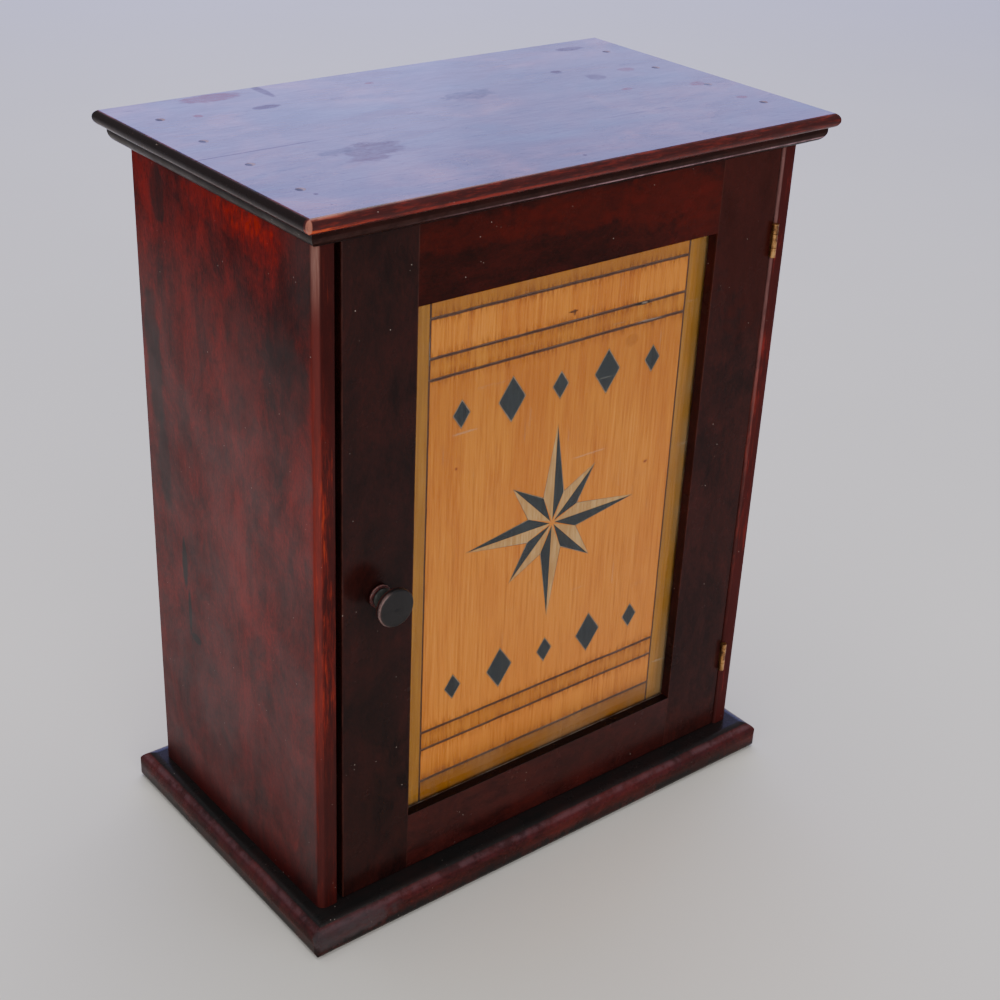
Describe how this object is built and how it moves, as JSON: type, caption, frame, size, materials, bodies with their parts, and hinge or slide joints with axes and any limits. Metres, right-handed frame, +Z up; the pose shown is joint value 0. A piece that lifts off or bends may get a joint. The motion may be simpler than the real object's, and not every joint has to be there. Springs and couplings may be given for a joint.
{
  "type": "counter display cabinet",
  "caption": "Small wooden counter cabinet with one glazed door, a grooved panel behind the glass, a turn latch and pigeonholes inside.",
  "frame": {"origin": "on the floor under the middle of the top board", "axes": "+X to the right along the front, +Y to the back, +Z up; the door faces -Y"},
  "size_m": [0.351, 0.209, 0.432],
  "materials": {
    "case_wood": "old shellac, worn",
    "top_wood": "old shellac, worn",
    "door_wood": "dark old shellac",
    "knob_wood": "blackened old finish",
    "inner_wood": "bare, aged",
    "panel_wood": "amber varnish",
    "inlay_dark": "dyed veneer",
    "inlay_light": "light veneer",
    "glass": "clear, scratched",
    "brass": "tarnished",
    "steel": "dull"
  },
  "bodies": {
    "cabinet": {"base_board": "case_wood", "side_left": "case_wood", "side_right": "case_wood", "header_rail": "case_wood", "top_board_front": "top_wood", "top_board_rear": "top_wood", "bed_mould_front": "case_wood", "bed_mould_rear": "case_wood", "bed_mould_left": "case_wood", "bed_mould_right": "case_wood", "back_board_left": "inner_wood", "back_board_middle": "inner_wood", "back_board_right": "inner_wood", "shelf_1": "inner_wood", "shelf_2": "inner_wood", "shelf_3": "inner_wood", "shelf_4": "inner_wood", "shelf_5": "inner_wood", "divider_left": "inner_wood", "divider_middle": "inner_wood", "divider_right": "inner_wood", "door_stop": "case_wood", "stop_brads": "steel", "top_screws": "steel", "top_plugs": "top_wood", "base_screws": "steel", "back_nails": "steel", "hinge_leaf_side_upper": "brass", "hinge_leaf_side_lower": "brass", "hinge_pin_upper": "brass", "hinge_pin_lower": "brass", "hinge_screws_side": "brass"},
    "door": {"stile_left": "door_wood", "stile_right": "door_wood", "rail_top": "door_wood", "rail_bottom": "door_wood", "glass_pane": "glass", "sign_panel": "panel_wood", "sign_inlay_dark": "inlay_dark", "sign_inlay_light": "inlay_light", "bead_left": "door_wood", "bead_right": "door_wood", "bead_top": "door_wood", "bead_bottom": "door_wood", "bead_brads": "steel", "hinge_leaf_door_upper": "brass", "hinge_leaf_door_lower": "brass", "hinge_screws_door": "brass"},
    "latch": {"knob": "knob_wood", "latch_tongue": "case_wood", "latch_screw": "steel"}
  },
  "joints": [
    {"name": "door_swing", "type": "hinge", "parent": "cabinet", "child": "door", "pos_m": [0.1496, -0.0888, 0.0728], "axis": [0, 0, 1], "range_deg": [0, 180]},
    {"name": "knob_turn", "type": "hinge", "parent": "door", "child": "latch", "pos_m": [-0.1238, -0.087, 0.2136], "axis": [0, 1, 0], "range_deg": [0, 90]}
  ]
}
